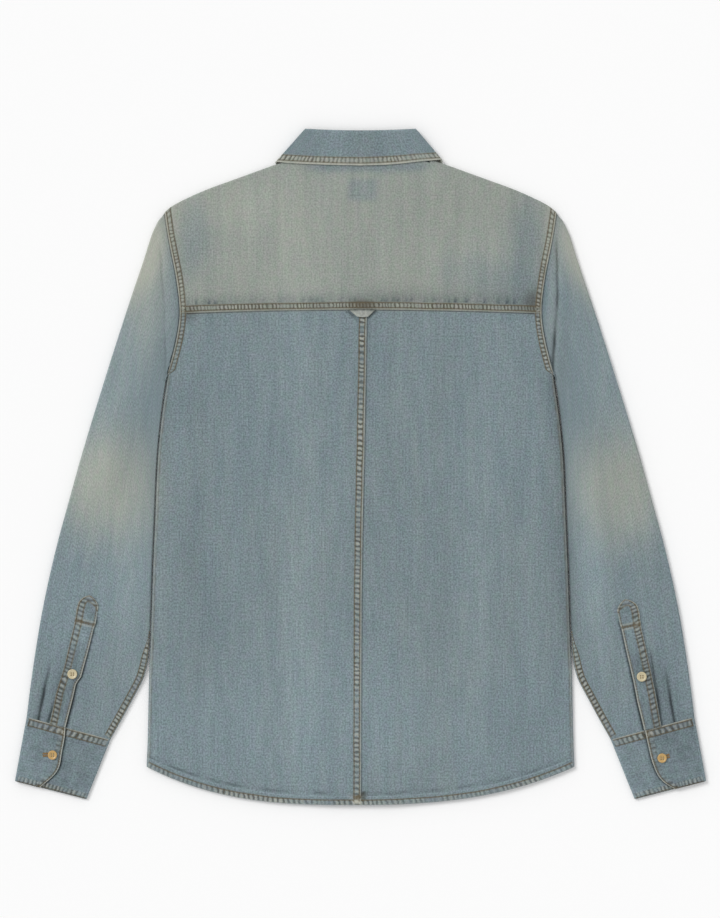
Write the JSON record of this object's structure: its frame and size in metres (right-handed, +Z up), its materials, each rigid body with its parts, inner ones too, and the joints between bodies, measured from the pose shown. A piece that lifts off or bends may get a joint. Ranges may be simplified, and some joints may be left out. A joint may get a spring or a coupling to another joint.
{
  "type": "denim shirt",
  "caption": "Long-sleeved button-front denim shirt laid flat with its back up, fold-over collar, yoke, buttoned cuffs and sleeve plackets; a garment to lay on a surface.",
  "frame": {"origin": "middle of the laid-out shirt's bounding box, on the surface that it lies on", "axes": "+Z up from the surface and out of the shirt's back, +Y from hem to collar, +X to the wearer's right side"},
  "size_m": [0.7936, 0.7763, 0.01],
  "materials": {
    "denim_body": "matte",
    "denim_faded": "matte",
    "denim_trim": "matte",
    "button_resin": "satin"
  },
  "bodies": {
    "root": {"back_left": "denim_body", "back_right": "denim_body", "front_left": "denim_body", "front_right": "denim_body", "sleeve_left": "denim_body", "sleeve_right": "denim_body", "back_yoke": "denim_faded", "front_placket": "denim_trim", "collar_stand": "denim_trim", "collar_leaf": "denim_trim", "hanger_loop": "denim_trim", "cuff_left": "denim_trim", "cuff_right": "denim_trim", "sleeve_placket_left": "denim_trim", "sleeve_placket_right": "denim_trim", "front_button_1": "button_resin", "front_button_2": "button_resin", "front_button_3": "button_resin", "front_button_4": "button_resin", "front_button_5": "button_resin", "front_button_6": "button_resin", "front_button_7": "button_resin", "collar_button": "button_resin", "placket_button_left": "button_resin", "placket_button_right": "button_resin", "cuff_button_left": "button_resin", "cuff_button_right": "button_resin"}
  },
  "joints": []
}
